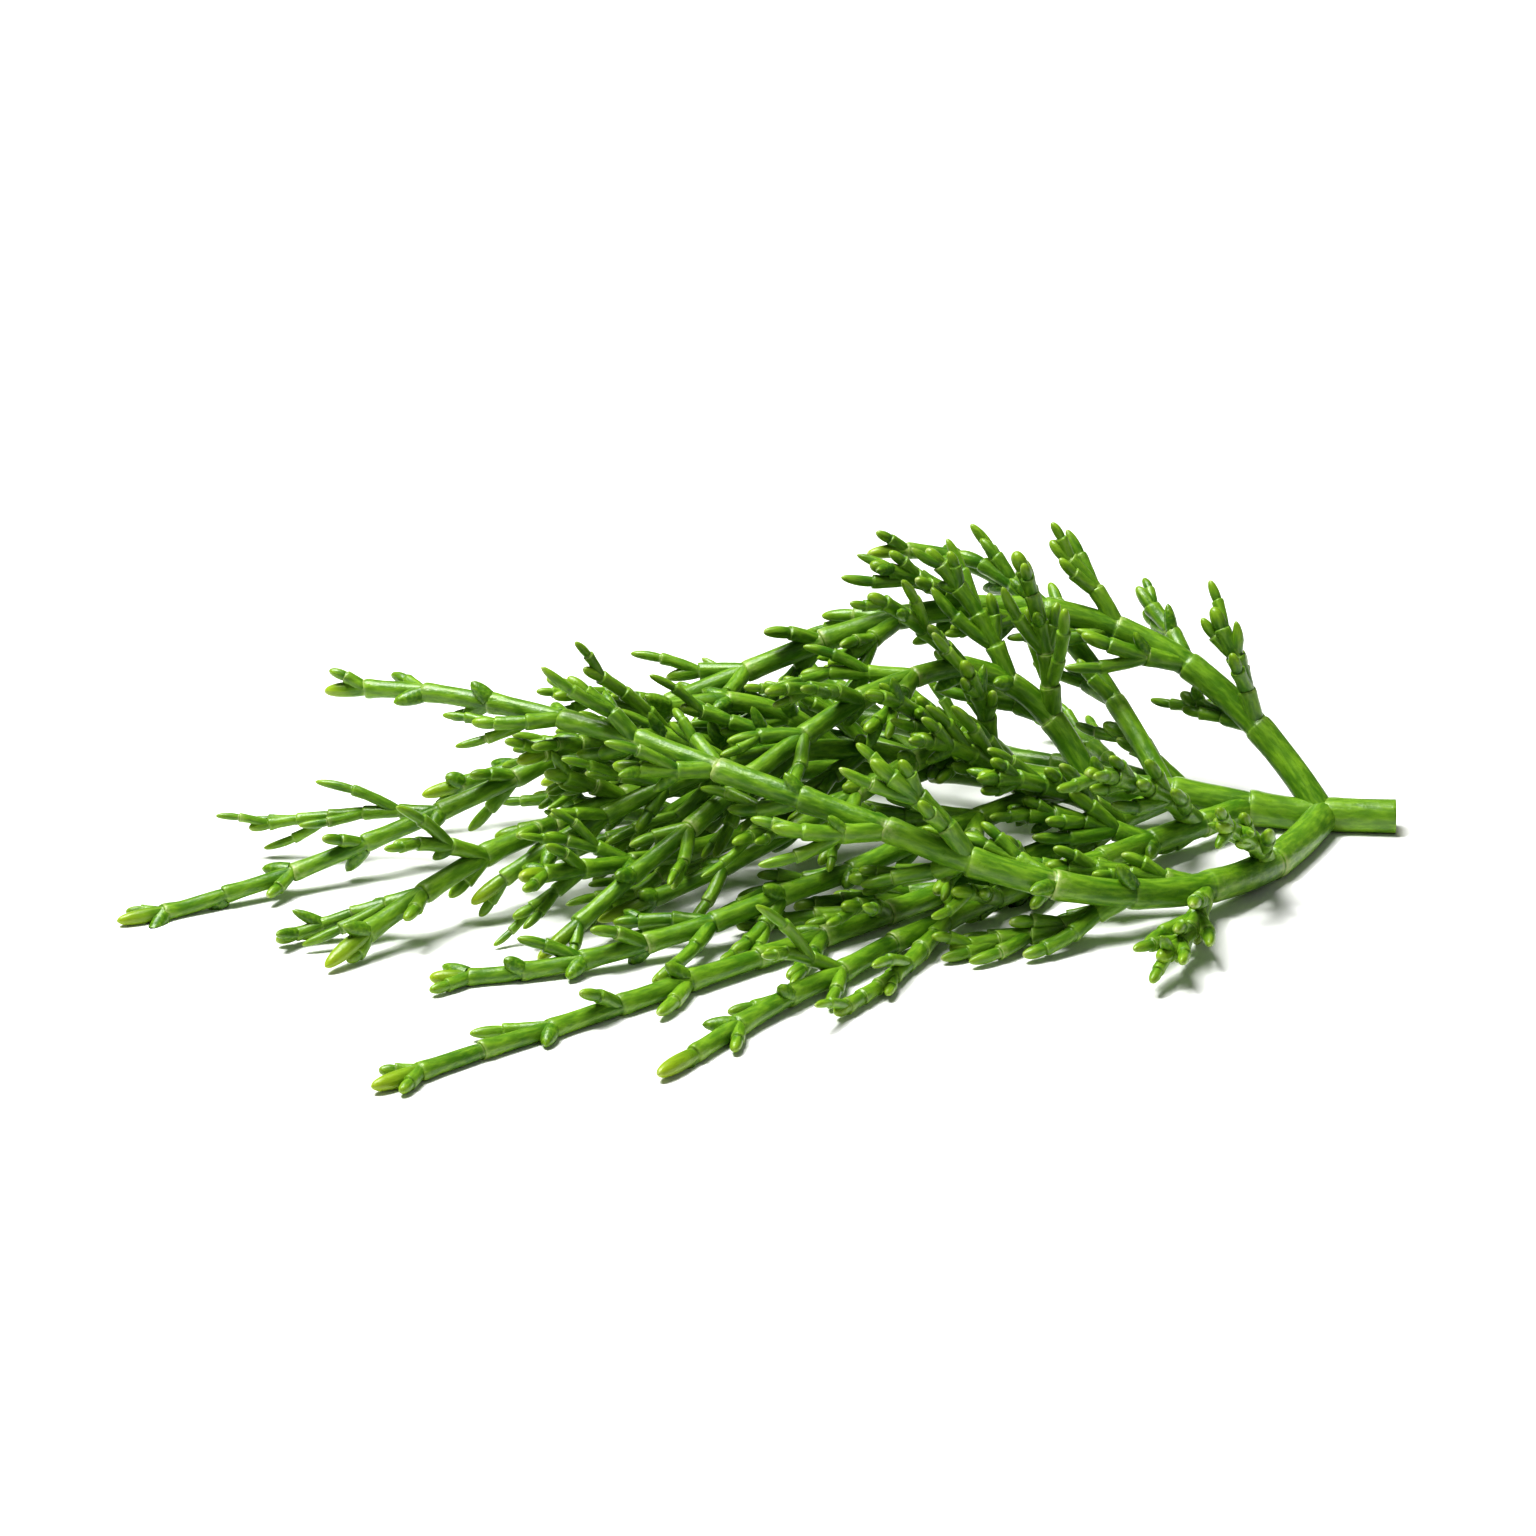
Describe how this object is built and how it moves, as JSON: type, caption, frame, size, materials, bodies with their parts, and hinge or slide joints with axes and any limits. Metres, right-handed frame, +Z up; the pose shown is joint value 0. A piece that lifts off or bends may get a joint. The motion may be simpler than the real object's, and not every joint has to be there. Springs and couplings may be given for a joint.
{
  "type": "samphire sprig",
  "caption": "Fresh marsh samphire top lying on its side: a jointed fleshy main stem with opposite long branches, short side shoots and blunt tips",
  "frame": {"origin": "middle of the bounding box's bottom face, on the surface that the plant lies on", "axes": "+Z up; +X towards the cut end of the main stem, -X towards the growing tips; +Y to the back, -Y to the front"},
  "size_m": [0.1526, 0.1087, 0.0346],
  "materials": {
    "main_stem_flesh": "firm succulent plant flesh, satin, mid green",
    "branch_flesh": "succulent plant flesh, satin, fresh green turning yellow-green at the tips"
  },
  "bodies": {
    "root": {"main_stem": "main_stem_flesh", "branch_1_back": "branch_flesh", "branch_1_front": "branch_flesh", "branch_2_back": "branch_flesh", "branch_2_front": "branch_flesh", "branch_3_back": "branch_flesh", "branch_3_front": "branch_flesh", "branch_4_top": "branch_flesh", "branch_4_front": "branch_flesh", "branch_5_back": "branch_flesh", "branch_5_top": "branch_flesh", "branch_6_back": "branch_flesh", "branch_6_front": "branch_flesh", "branch_7_top": "branch_flesh", "branch_7_front": "branch_flesh", "branch_8_back": "branch_flesh", "branch_8_top": "branch_flesh"}
  },
  "joints": []
}
